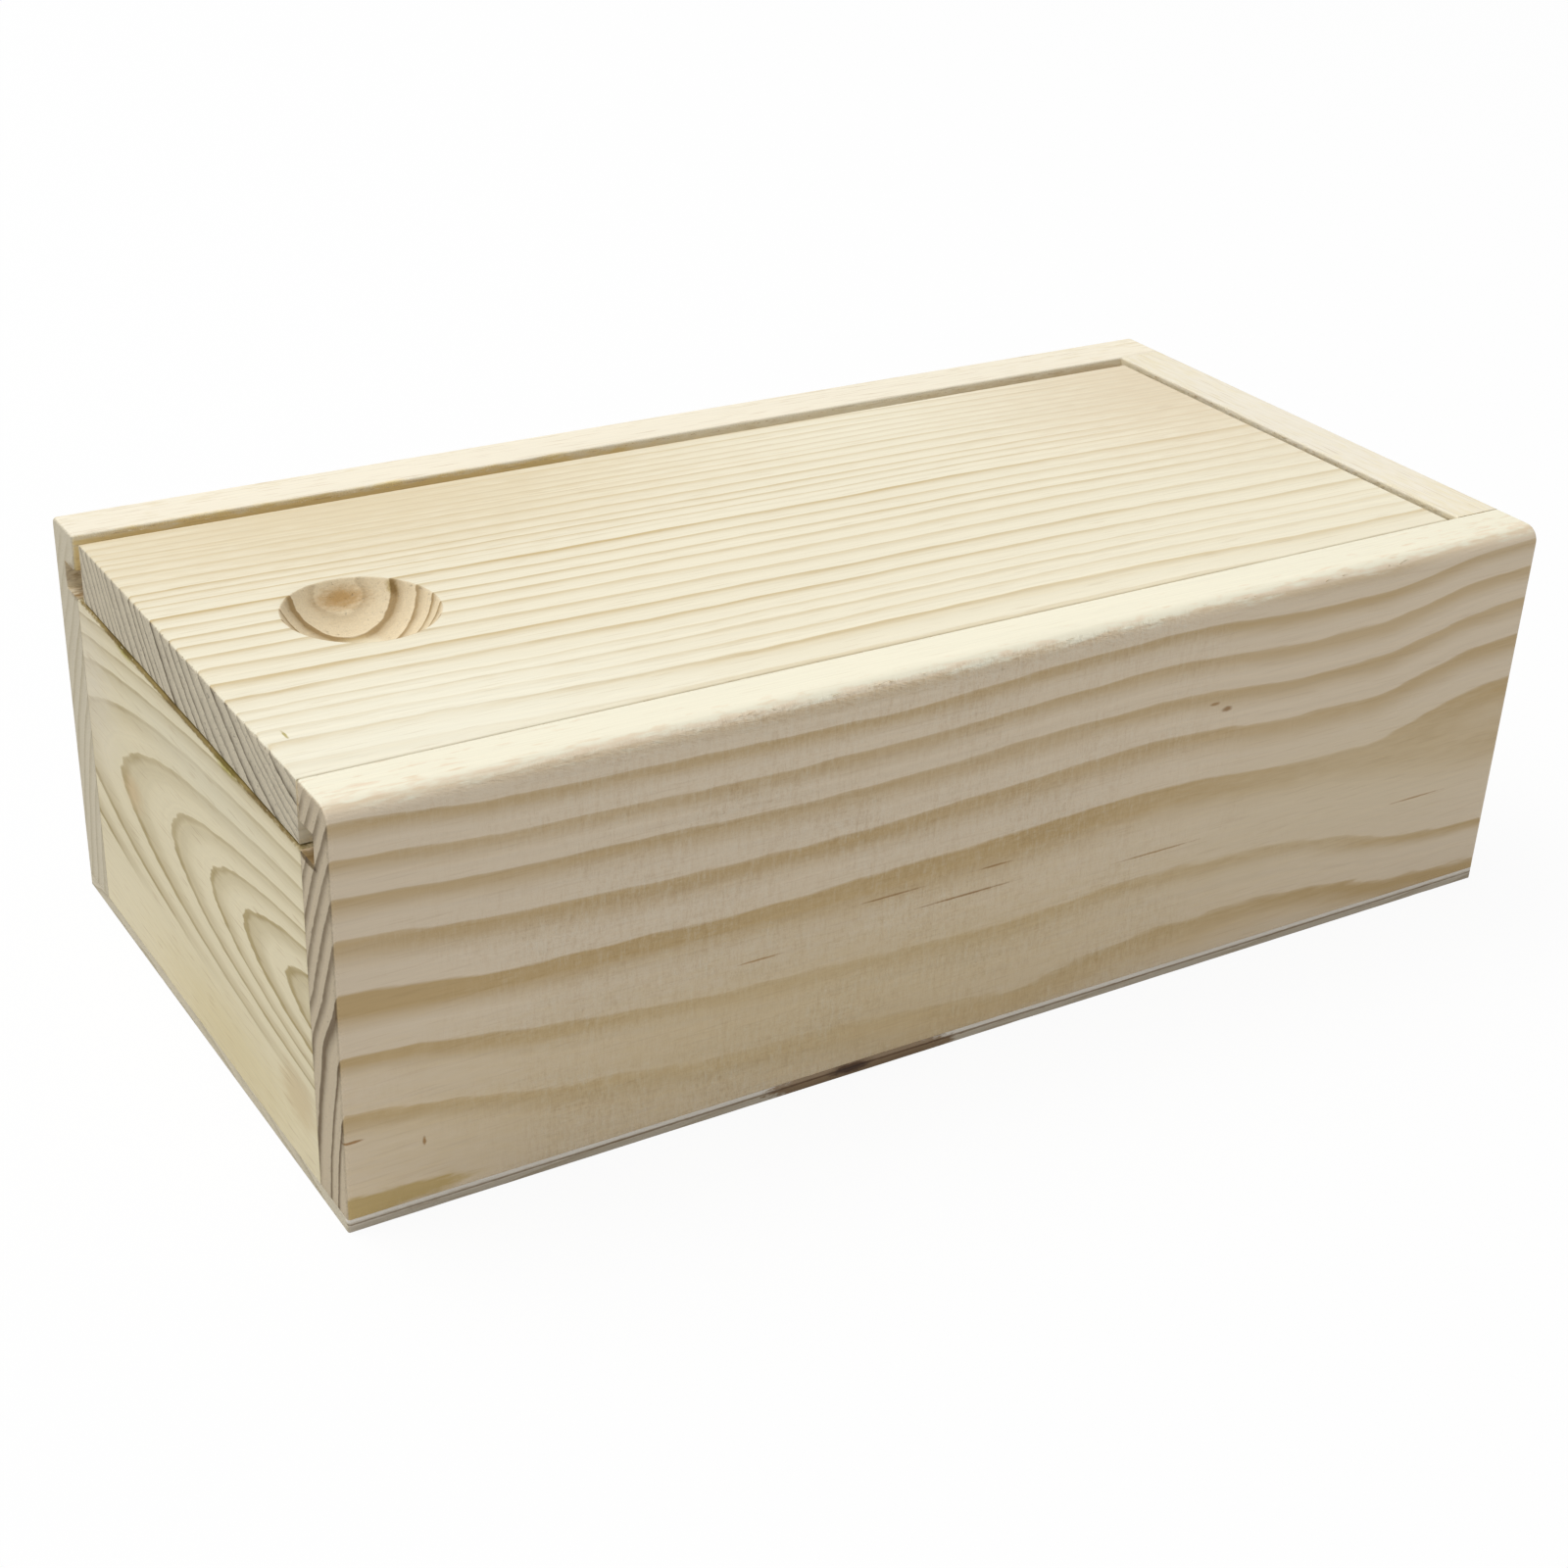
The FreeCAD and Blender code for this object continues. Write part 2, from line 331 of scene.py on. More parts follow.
def woodFinish(name, ownLook, corners):
    look = usualLook | ownLook
    material, recipe = emptyMaterial(name)
    here, facing = recipe.node("ShaderNodeTexCoord", out=("Object", "Normal"))
    spot = recipe.scaled(here, 1 / mm)
    x, y, z = recipe.node("ShaderNodeSeparateXYZ", {}, {0: spot}, out=(0, 1, 2))
    normals = recipe.node("ShaderNodeSeparateXYZ", {}, {0: facing}, out=(0, 1, 2))
    grainAxis = "XYZ".index(look["grain"])
    grain = {"along": (x, y)[grainAxis], "side": (y, x)[grainAxis], "up": z, "seed": look["seed"]}
    radius = ringRadius(recipe, look, grain)
    dark = ringDarkness(recipe, look, radius, grain)

    # fibres, clouds, pores and pits
    fibre = markField(recipe, "fibre", grain)
    cloud = markField(recipe, "cloud", grain)
    grit = recipe.noise(recipe.scaled(spot, gritScale), 2.0, 0.6)
    pores = recipe.between(markField(recipe, "pore", grain), 0.66, 0.78) * look["pores"]
    fine = recipe.drift(radius * fineScale["ring"] + grain["along"] * fineScale["along"], 2.0, 0.6)
    pits = recipe.noise(recipe.vector(x * pitScale, y * pitScale + look["seed"], z * pitScale), 2.0, 0.6)
    pits = recipe.between(pits, 0.62, 0.78)
    ends = recipe.between(abs(normals[grainAxis]), 0.5, 0.95)

    # long faces, then end grain
    longColour = recipe.mix(dark, srgb(*look["spring"]), srgb(*look["summer"]))
    endColour = recipe.mix(dark, srgb(*look["endSpring"]), srgb(*look["endSummer"]))
    ragged = markField(recipe, "tintAndLightEdge", grain)
    for patch in look["patches"]:
        longColour = addLayer(recipe, longColour, spot, ragged, patch)
    colour = recipe.mix(ends, longColour, endColour)
    if "hollow" in look:  # the cutter left the scoop rougher than the sanded face; its browner colour is partly cut end grain, partly painted shade
        hollow = look["hollow"]
        cutFace = recipe.spotMask(spot, hollow["at"], hollow["size"], hollow["soft"], 0.5)
        cutFace = cutFace * recipe.between(abs(normals[2]), 0.995, 0.95)
        wide = dark.calc("POWER", hollow["spread"]) * hollow["depth"]
        hollowColour = recipe.mix(wide, srgb(*hollow["spring"]), srgb(*hollow["summer"]))
        colour = recipe.mix(cutFace, colour, hollowColour)
        ends = ends.calc("MAXIMUM", cutFace * 0.5)
    colour = recipe.mix(pores * (1 - ends), colour, srgb(*poreColour), "MULTIPLY")
    shade = 1 + (fibre - 0.5) * look["fibre"] + (cloud - 0.5) * look["cloud"]
    shade = shade + (fine - 0.5) * look["fine"] + (grit - 0.5) * ends * look["grit"]
    shade = shade - pits * ends * look["pits"]
    height = fibre * relief["fibre"] + dark * relief["ring"] - pores * relief["pore"]
    height = height + ends * (grit * relief["grit"] - pits * relief["pit"]) + fine * relief["fine"]

    if "saw" in look:
        saw = look["saw"]
        cut = sawMarks(recipe, saw, grain, normals)
        # painted light and shade on the saw fuzz: raised flecks paler, sunken flecks browner
        colour = recipe.mix(cut * -saw["colour"], colour, srgb(*sawColours["shaded"]), "MULTIPLY")
        colour = recipe.mix(cut * saw["colour"], colour, srgb(*sawColours["lit"]))
        height = height + cut * saw["depth"]
    ragged = markField(recipe, "streakEdge", grain)
    for patch in look["streaks"]:
        colour = addLayer(recipe, colour, spot, ragged, patch)

    # edges that hands and sandpaper meet
    edge = edgeMask(recipe, (x, y, z), corners, grit, look["edgeReach"])
    shade = shade + edge * (grit - 0.45) * look["edgeWear"]
    height = height + edge * (grit - 0.5) * relief["edge"]

    roughness = 0.62 + (fibre - 0.5) * 0.14 - dark * 0.07 + ends * 0.12 + edge * 0.06
    normal = recipe.node("ShaderNodeBump", {}, {"Height": height, "Distance": mm, "Strength": 1.0})
    surface = recipe.node("ShaderNodeBsdfPrincipled", {}, {
        "Base Color": recipe.scaled(colour, shade), "Roughness": roughness, "Normal": normal,
        "Specular IOR Level": 0.3})
    recipe.node("ShaderNodeOutputMaterial", {}, {"Surface": surface})
    return material


# how each board's mesh is made ready for wear
meshSetup = {
    "merge": 0.002 * mm,
    "snap": 0.001 * mm,
    "flatWithin": math.radians(0.5),
    "sharpFrom": math.radians(34),
    "edgeCuts": (0.08, 0.18, 0.32, 0.6),  # in from each edge, in millimetres
}


def cutAt(work, axis, places):
    across = Vector([float(one == axis) for one in range(3)])
    for place in places:
        everything = work.verts[:] + work.edges[:] + work.faces[:]
        bmesh.ops.bisect_plane(work, geom=everything, plane_co=across * place, plane_no=across,
                               dist=meshSetup["snap"])


def nickAt(place):  # nicks along the lid's front edge
    broad = noise.noise(Vector((place * 0.8, 3, 7)))
    small = noise.noise(Vector((place * 2.1, 9, 1)))
    return max(0.0, broad + 0.5 * small)


def wearCorners(work, low, high, wear):
    for vert in work.verts:
        spot = vert.co / mm
        rough = noise.fractal(spot * 0.16 + wear["seed"], 1.0, 2.0, 3)
        chip = max(0.0, noise.noise(spot * 0.45 + wear["seed"]) - 0.35)
        radius = (wear["round"] * (1 + 0.5 * rough) + wear["chips"] * chip) * mm
        if "flush" in wear and vert.co.y > wear["flush"]["behind"] * mm:
            if abs(vert.co.x) < wear["flush"]["inside"] * mm:
                radius = 0.0  # glued to the back wall
        if "ends" in wear and abs(vert.co.x) > high[0] - mm:
            radius *= wear["ends"]
        if "torn" in wear and vert.co.y < low[1] + mm and vert.co.z > high[2] - mm:
            radius += wear["torn"] * nickAt(vert.co.x / mm) * mm
        inner = Vector([min(max(value, first + radius), last - radius)
                        for value, first, last in zip(vert.co, low, high)])
        out = vert.co - inner
        if out.length > radius > 0:
            vert.co = inner + out * (radius / out.length)


def trueScoop(work, ball):  # sets the cut points back on the cutter's ball
    centre = Vector(ball["centre"]) * mm
    for vert in work.verts:
        out = vert.co - centre
        if vert.co.z < ball["below"] * mm and abs(out.length - ball["radius"] * mm) < ball["within"] * mm:
            vert.co = centre + out.normalized() * (ball["radius"] * mm)


def wornBoard(name, board):
    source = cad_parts[board["node"]]
    low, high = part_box(board["node"])
    work = bmesh.new()
    work.from_mesh(source.data)
    bmesh.ops.remove_doubles(work, verts=work.verts, dist=meshSetup["merge"])
    bmesh.ops.dissolve_limit(work, angle_limit=meshSetup["flatWithin"], verts=work.verts, edges=work.edges)
    for axis in range(3):
        count = round((high[axis] - low[axis]) / (board["steps"][axis] * mm))
        places = [low[axis] + (high[axis] - low[axis]) * turn / count for turn in range(1, count)]
        for inset in meshSetup["edgeCuts"]:
            places += [low[axis] + inset * mm, high[axis] - inset * mm]
        cutAt(work, axis, places)
    wearCorners(work, low, high, board["wear"])
    if "hollow" in board["look"]:
        trueScoop(work, board["look"]["hollow"]["ball"])
    mesh = bpy.data.meshes.new(name)
    work.to_mesh(mesh)
    work.free()
    mesh.shade_smooth()
    mesh.set_sharp_from_angle(angle=meshSetup["sharpFrom"])
    corners = [[value / mm for value in corner] for corner in (low, high)]
    mesh.materials.clear()
    mesh.materials.append(woodFinish(name + "Wood", board["look"], corners))
    piece = bpy.data.objects.new(name, mesh)
    scene.collection.objects.link(piece)
    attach(piece, board["body"])
    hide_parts(board["node"])
    print("board", name, len(mesh.vertices), "points")


# the finger recess is a shallow cap of the cutter's ball
scoop = {"x": -1.45, "y": -72.8, "across": 22, "deep": 6}
ballRadius = ((scoop["across"] / 2) ** 2 + scoop["deep"] ** 2) / (2 * scoop["deep"])
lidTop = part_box("lid")[1][2] / mm

lidBoard = {
    "node": "lid", "body": "lid", "slot": "lid_wood",
    "steps": (1.3, 1.5, 3.0),
    "wear": {"round": 0.18, "chips": 0.5, "torn": 1.9, "seed": Vector((3, 1, 2))},
    "look": {
        "grain": "Y", "seed": 3.0,
        "pith": (62.0, 122.0), "lean": (0.024, 0.0), "wander": 1.5,
        "firstRing": 60.0,
        "ringWidths": (2.2, 2.3, 2.3, 1.6, 1.75, 1.5, 2.45, 2.8, 2.9, 2.8, 2.6, 2.15, 2.55, 2.8, 1.7, 1.2,
                       2.1, 1.8, 2.6, 2.8, 2.3, 1.4, 1.8, 1.8, 2.0, 2.2, 2.2, 2.1),
        "ringTones": (0.5, 0.45, 0.95, 0.5, 0.6, 0.5, 0.85, 0.9, 0.6, 0.65, 0.75, 0.8, 0.7, 1.1, 0.2, 0.8,
                      0.75, 0.85, 0.7, 0.65, 0.6, 0.5, 0.6, 0.5, 0.55, 0.6, 0.6, 0.6),
        "warp": 1.0, "ripple": 0.45, "waver": 0.9,
        "profile": ((0.0, 0.0), (0.45, 0.1), (0.7, 0.4), (0.86, 0.9), (0.94, 1.0), (1.0, 0.0)),
        "fades": [{"way": "along", "points": ((-100, 1.0), (0, 0.85), (60, 0.7), (100, 0.6))}],
        "spring": (247, 239, 214), "summer": (208, 184, 134),
        "endSpring": (220, 209, 184), "endSummer": (98, 84, 60),
        "fibre": 0.08, "cloud": 0.05, "pores": 0.14, "fine": 0.12, "grit": 0.6, "pits": 0.5,
        "patches": [
            # tone across the lid, partly the wood's own and partly painted light: paler toward the near
            # front, darker toward the far front, pinker at the far rear
            tintAndLight((-42, -60, 61), (42, 90, 40), (226, 208, 170), strength=0.8, soft=1.0),
            tintAndLight((-30, 98, 61), (56, 70, 40), (230, 213, 182), strength=0.85, soft=1.0),
            tintAndLight((38, -80, 61), (30, 60, 40), (252, 248, 228), strength=0.6, soft=1.0),
        ],
        "streaks": [
            streak((29.5, -96.4, 61.5), (1.5, 0.3, 1), (196, 188, 140)),
            # painted shade on the far wall of the finger recess
            streak((-10.4, -72.0, 59.4), (4.2, 5.8, 2.0), (216, 191, 152), soft=0.9),
            streak((-8.3, -65.2, 60.6), (2.2, 0.9, 1.6), (204, 194, 160)),
        ],
        # the recess colours are partly its cut end grain and partly painted shade
        "hollow": {
            "at": (scoop["x"], scoop["y"], 62), "size": (11.6, 11.6, 8.0), "soft": 0.06,
            "spread": 0.85, "depth": 1.3,
            "spring": (239, 222, 188), "summer": (166, 139, 94),
            "ball": {"centre": (scoop["x"], scoop["y"], lidTop - scoop["deep"] + ballRadius),
                     "radius": ballRadius, "below": lidTop - 0.7, "within": 0.06},
        },
    },
}

nearWall = {
    "node": "side_right", "body": "case", "slot": "side_wood",
    "steps": (3.0, 1.5, 3.0),
    "wear": {"round": 0.1, "chips": 0.5, "flush": {"behind": 91, "inside": 43}, "seed": Vector((7, 4, 1))},
    "look": {
        "grain": "Y", "seed": 11.0,
        "pith": (171.0, -14.0), "lean": (0.0, 0.0),
        "firstRing": 119.5,
        "ringWidths": (2.4, 2.4, 4.6, 3.1, 2.8, 2.6, 2.5, 2.3, 2.2, 2.1, 2.2, 2.3, 2.2, 2.1, 2.3, 2.2),
        "ringTones": (1.1, 1.1, 1.25, 0.9, 0.82, 0.78, 0.85, 0.78, 0.7, 0.8, 0.7, 0.8, 0.7, 0.8, 0.7, 0.8),
        "warp": 0.8, "ripple": 0.4, "waver": 0.5,
        "profile": ((0.0, 0.0), (0.36, 0.0), (0.56, 0.35), (0.76, 0.85), (0.9, 1.0), (0.96, 0.8), (1.0, 0.0)),
        "shifts": [
            {"points": ((-100, -1.2), (-80, -0.3), (-55, 0.1), (-20, 0.3), (0, 0.0), (30, -0.4), (55, 0.4),
                        (72, 0.3), (85, -0.9), (100, -1.6)), "height": (22, 32)},
            {"points": ((-100, -2.5), (-75, -1.6), (-50, -0.8), (0, 0.0), (30, -0.3), (60, 0.1), (80, 1.2),
                        (100, 1.9)), "height": (34, 24)},
            {"points": ((-100, 0.0), (40, 0.0), (80, -0.8), (100, -1.4)), "height": (14, 6)},
        ],
        "fades": [{"way": "up", "points": ((0, 1.0), (59, 1.0), (61.5, 0.3), (62, 0.3))}],
        "tighter": {"height": (32, 14), "amount": 1.4},
        "spring": (245, 227, 199), "summer": (211, 182, 132),
        "endSpring": (212, 196, 168), "endSummer": (118, 99, 71),
        "fibre": 0.1, "cloud": 0.1, "pores": 0.08, "fine": 0.08,
        "saw": {"face": 0, "colour": 1.9, "depth": 0.45, "scuff": 0.55, "edge": ((58.0, 59.8), (61.4, 60.6)),
                "where": ((-100, 0.3), (-80, 0.55), (-60, 0.75), (20, 0.7), (50, 0.35), (100, 0.2))},
        "patches": [
            tintAndLight((51, -30, 12), (30, 120, 26), (236, 213, 168), strength=0.75, soft=1.0),
            tintAndLight((51, 70, 24), (30, 70, 20), (240, 222, 188), strength=0.6, soft=1.0),
            # painted highlight: the near wall's top and rounded top edge paled almost to white
            tintAndLight((44, 0, 68), (16, 260, 8.5), (252, 246, 222), strength=2.2, soft=0.35),
            tintAndLight((51, -100, 3.5), (2, 20, 2.1), (212, 184, 120), strength=0.9, soft=0.35),
        ],
        "streaks": [
            streak((51, -5, 25), (2, 11, 0.24), (194, 172, 146)),
            streak((51, -18, 28.3), (2, 7, 0.2), (204, 184, 160)),
            streak((51, 0, 28.5), (2, 3.5, 0.22), (210, 190, 166)),
            streak((51, -39, 24), (2, 4.5, 0.22), (214, 194, 170)),
            streak((51, 30, 23), (2, 10, 0.22), (212, 194, 170)),
            streak((51, 83, 19.2), (2, 7, 0.22), (214, 194, 170)),
            streak((51, -99, 14), (2, 2.4, 0.3), (196, 168, 136)),
            streak((51, -89, 11), (2, 0.35, 1.1), (196, 170, 138)),
            streak((51, 37.5, 45.6), (2, 1.3, 0.4), (208, 188, 164)),
            streak((51, 40, 44.3), (2, 1.2, 0.6), (190, 168, 144)),
            # painted shade in the near groove's mouth at the front end, under the lid
            streak((44.5, -99, 52), (3.2, 16, 0.7), (150, 136, 106), soft=0.4),
        ],
    },
}

farWall = {
    "node": "side_left", "body": "case", "slot": "side_wood",
    "steps": (3.0, 1.5, 3.0),
    "wear": {"round": 0.1, "chips": 0.5, "flush": {"behind": 91, "inside": 43}, "seed": Vector((2, 9, 5))},
    "look": {
        "grain": "Y", "seed": 23.0,
        "pith": (64.0, -12.0), "lean": (0.012, 0.0), "wander": 3.0,
        "firstRing": 92.0,
        "ringWidths": (2.6, 2.9, 2.4, 2.7, 3.1, 2.5, 2.8, 2.6, 2.4, 2.8, 2.6, 2.9, 2.5, 2.7, 2.6, 2.8),
        "warp": 1.6, "ripple": 0.4, "faintest": 0.5,
        "fades": [{"way": "up", "points": ((0, 1.0), (59, 1.0), (61.5, 0.3), (62, 0.3))}],
        "spring": (244, 233, 206), "summer": (214, 190, 148),
        "endSpring": (222, 212, 188), "endSummer": (196, 184, 154),
        "patches": [
            # painted highlight: the far wall's top and rounded top edge paled almost to white
            tintAndLight((-44, 0, 68), (16, 260, 8.5), (250, 241, 219), strength=2.0, soft=0.35),
            # painted warm bounce light on the far lip's inner face, in the gap beside the lid
            tintAndLight((-41, -60, 57.4), (2.4, 95, 6.4), (240, 218, 162), strength=1.5, soft=0.4),
        ],
        "streaks": [
            # painted shade in the far groove's mouth at the front end, under the lid
            streak((-43.2, -96, 54.4), (4.2, 22, 3.2), (166, 140, 96), soft=0.5),
        ],
        "fibre": 0.1, "cloud": 0.1, "pores": 0.3, "fine": 0.08,
    },
}

frontWall = {
    "node": "front_wall", "body": "case", "slot": "end_wood",
    "steps": (1.5, 3.0, 3.0),
    "wear": {"round": 0.06, "chips": 0.25, "seed": Vector((5, 5, 8))},
    "look": {
        "grain": "X", "seed": 31.0,
        "pith": (-86.6, 30.2), "lean": (-0.16, 0.0),
        "firstRing": 3.2,
        "ringWidths": (2.4, 2.4, 2.3, 2.0, 2.5, 3.2, 3.2, 2.8, 2.3, 2.3, 2.4, 2.5, 2.6, 2.5),
        "warp": 0.9, "ripple": 0.45, "faintest": 0.75, "waver": 0.8,
        "profile": ((0.0, 0.0), (0.35, 0.04), (0.6, 0.35), (0.8, 0.5), (0.9, 1.0), (0.965, 0.9), (1.0, 0.0)),
        "fades": [{"way": "up",
                   "points": ((0, 0.0), (13, 0.0), (17, 1.1), (26, 1.2), (40, 0.85), (62, 0.8))}],
        "spring": (244, 232, 197), "summer": (180, 160, 108),
        "endSpring": (222, 209, 181), "endSummer": (170, 155, 125),
        "fibre": 0.1, "cloud": 0.16, "pores": 0.25, "fine": 0.09,
        "patches": [
            tintAndLight((36, -100, 12), (8, 6, 5.5), (216, 192, 146), strength=0.6),
            tintAndLight((-24, -100, 29), (6, 6, 4), (222, 194, 146), strength=0.6, soft=0.9),
            tintAndLight((-40, -100, 40), (16, 6, 22), (238, 228, 206), strength=0.6, soft=1.0),
            tintAndLight((10, -100, 6), (44, 6, 12), (228, 211, 160), strength=0.6, soft=1.0),
            tintAndLight((4, -100, 46), (50, 6, 7), (240, 232, 204), strength=0.5, soft=1.0),
        ],
        "streaks": [
            # painted shade: a dark line and two darker spots along the front wall's top edge, under the lid
            streak((0, -100, 52.6), (70, 4, 0.9), (150, 136, 92), soft=0.4),
            streak((-22, -100, 52.4), (5, 4, 1.6), (206, 204, 130)),
            streak((17, -100, 52.4), (6, 4, 1.6), (206, 204, 130)),
        ],
    },
}

backWall = {
    "node": "back_wall", "body": "case", "slot": "end_wood",
    "steps": (1.5, 3.0, 3.0),
    "wear": {"round": 0.05, "chips": 0.3, "ends": 0.0, "seed": Vector((1, 6, 3))},
    "look": {
        "grain": "X", "seed": 47.0,
        "pith": (60.0, 24.0), "lean": (0.05, 0.03), "wander": 2.0,
        "firstRing": 28.0,
        "ringWidths": (2.6, 2.3, 2.9, 2.5, 2.2, 2.7, 2.4, 2.6, 2.3, 2.5, 2.6, 2.4, 2.7),
        "warp": 1.4, "ripple": 0.4, "faintest": 0.55,
        "fades": [{"way": "up", "points": ((0, 1.0), (58, 1.0), (61.5, 0.2), (62, 0.2))}],
        # painted highlight: the back wall's top and rounded top edge paled almost to white
        "patches": [tintAndLight((0, 96, 68), (90, 30, 8.5), (248, 240, 221), soft=0.35)],
        "spring": (244, 233, 202), "summer": (210, 187, 143),
        "endSpring": (222, 209, 181), "endSummer": (170, 155, 125),
        "fibre": 0.1, "cloud": 0.1, "pores": 0.25, "fine": 0.08,
    },
}

bottomBoard = {
    "node": "bottom_panel", "body": "case", "slot": "plywood",
    "steps": (3.0, 3.0, 0.4),
    "wear": {"round": 0.08, "chips": 0.3, "seed": Vector((8, 2, 6))},
    "look": {
        "grain": "Y", "seed": 59.0,
        "pith": (-20.0, -210.0), "lean": (0.02, 0.06), "wander": 6.0,
        "firstRing": 200.0,
        "ringWidths": (2.4, 2.0, 2.2, 2.1, 2.4, 2.3, 2.2, 2.0, 2.3, 2.4, 2.1, 2.2),
        "warp": 4.0, "ripple": 0.4, "faintest": 0.4,
        "spring": (224, 214, 196), "summer": (200, 186, 162),
        "endSpring": (226, 216, 192), "endSummer": (196, 184, 156),
        "fibre": 0.16, "cloud": 0.12, "pores": 0.3, "edgeWear": 0.15,
        "streaks": [
            streak((51, 0, 0.5), (1.2, 180, 0.6), (240, 238, 234), soft=0.3),
            streak((51, 0, 1.2), (1.2, 180, 0.22), (190, 178, 166), soft=0.5),
            tintAndLight((51, 0, 1.8), (1.2, 180, 0.5), (255, 248, 236), soft=0.4),
            streak((51, -21, 0.9), (1.5, 17.5, 2.4), (176, 156, 134), soft=0.2),
            streak((51, -23, 1.2), (1.5, 4.5, 1.1), (130, 110, 92), soft=0.6),
        ],
    },
}

wornBoard("slidingLid", lidBoard)
wornBoard("nearLongWall", nearWall)
wornBoard("farLongWall", farWall)
wornBoard("frontEndWall", frontWall)
wornBoard("backEndWall", backWall)
wornBoard("plywoodBase", bottomBoard)


def fibreTree():  # loose fibres scattered along edges, thin four-sided spikes
    tree = bpy.data.node_groups.new("looseFibres", "GeometryNodeTree")
    tree.interface.new_socket("Edges", in_out="INPUT", socket_type="NodeSocketGeometry")
    given = {"Spacing": "Float", "Length": "Float", "Thickness": "Float", "Spread": "Vector",
             "Tilt": "Float", "Seed": "Int", "Wood": "Material"}
    for name, kind in given.items():
        tree.interface.new_socket(name, in_out="INPUT", socket_type="NodeSocket" + kind)
    tree.interface.new_socket("Fibres", in_out="OUTPUT", socket_type="NodeSocketGeometry")
    recipe = Recipe(tree)
    edges, spacing, length, thickness, spread, tilt, seed, wood = recipe.node(
        "NodeGroupInput", out=("Edges", *given))
    path = recipe.node("GeometryNodeMeshToCurve", {}, {"Mesh": edges})
    points, turn = recipe.node("GeometryNodeCurveToPoints", {"mode": "LENGTH"},
                               {"Curve": path, "Length": spacing}, out=("Points", "Rotation"))
    nudge = recipe.node("FunctionNodeRandomValue", {"data_type": "FLOAT_VECTOR"},
                        {0: recipe.scaled(spread, -1.0), 1: spread, "Seed": seed})
    points = recipe.node("GeometryNodeSetPosition", {}, {"Geometry": points, "Offset": nudge})
    spike = recipe.node("GeometryNodeMeshCone", {}, {
        "Vertices": 4, "Side Segments": 2, "Radius Top": 0.0, "Radius Bottom": thickness, "Depth": length})
    shortest = 0.25
    size = recipe.node("FunctionNodeRandomValue", {"data_type": "FLOAT"},
                       {2: shortest, 3: 1.0, "Seed": seed + 1}, out=1)
    placed = recipe.node("GeometryNodeInstanceOnPoints", {}, {
        "Points": points, "Instance": spike, "Rotation": turn, "Scale": recipe.vector(1.0, 1.0, size)})
    fullTurn = 6.28
    lean = recipe.node("FunctionNodeRandomValue", {"data_type": "FLOAT_VECTOR"}, {
        0: recipe.vector(tilt * -1, tilt * -1, 0.0), 1: recipe.vector(tilt, tilt, fullTurn),
        "Seed": seed + 2})
    placed = recipe.node("GeometryNodeRotateInstances", {}, {"Instances": placed, "Rotation": lean})
    solid = recipe.node("GeometryNodeRealizeInstances", {}, {"Geometry": placed})
    solid = recipe.node("GeometryNodeSetMaterial", {}, {"Geometry": solid, "Material": wood})
    recipe.node("NodeGroupOutput", {}, {"Fibres": solid})
    return tree


def fibreFinish(name, pale, dull):
    material, recipe = emptyMaterial(name)
    spot = recipe.scaled(recipe.node("ShaderNodeTexCoord", out="Object"), 1 / mm)
    tone = recipe.noise(recipe.scaled(spot, 0.9), 2.0)
    colour = recipe.mix(recipe.between(tone, 0.35, 0.65), srgb(*pale), srgb(*dull))
    surface = recipe.node("ShaderNodeBsdfPrincipled", {}, {
        "Base Color": colour, "Roughness": 0.6 + tone * 0.2, "Specular IOR Level": 0.3})
    recipe.node("ShaderNodeOutputMaterial", {}, {"Surface": surface})
    return material


def looseFibres(name, fuzz):
    wood = fibreFinish(name + "Wood", fuzz["pale"], fuzz["dull"])
    tree = fibreTree()
    work = bmesh.new()
    for strip in fuzz["strips"]:
        carrier = bpy.data.meshes.new("carrier")
        ends = [tuple(value * mm for value in end) for end in (strip["from"], strip["to"])]
        carrier.from_pydata(ends, [(0, 1)], [])
        holder = bpy.data.objects.new("carrier", carrier)
        scene.collection.objects.link(holder)
        modifier = holder.modifiers.new("fibres", "NODES")
        modifier.node_group = tree
        given = {"Spacing": strip["spacing"] * mm, "Length": strip["length"] * mm, "Tilt": strip["tilt"],
                 "Thickness": strip["thickness"] * mm, "Spread": [value * mm for value in strip["spread"]],
                 "Seed": strip["seed"], "Wood": wood}
        for socket in tree.interface.items_tree:
            if socket.in_out == "INPUT" and socket.name in given:
                modifier[socket.identifier] = given[socket.name]
        ready = holder.evaluated_get(bpy.context.evaluated_depsgraph_get())
        plain = bpy.data.meshes.new_from_object(ready)
        work.from_mesh(plain)
        holder.modifiers.remove(modifier)
        bpy.data.objects.remove(holder)
    boxes = [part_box(node) for node in fuzz["within"]]
    for vert in work.verts:  # nothing sticks out past the boards themselves
        for axis in range(3):
            low = min(box[0][axis] for box in boxes)
            high = max(box[1][axis] for box in boxes)
            vert.co[axis] = min(max(vert.co[axis], low), high)
    mesh = bpy.data.meshes.new(name)
    work.to_mesh(mesh)
    work.free()
    mesh.materials.append(wood)
    piece = bpy.data.objects.new(name, mesh)
    scene.collection.objects.link(piece)
    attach(piece, fuzz["body"])
    print("fibres", name, len(mesh.polygons), "faces")


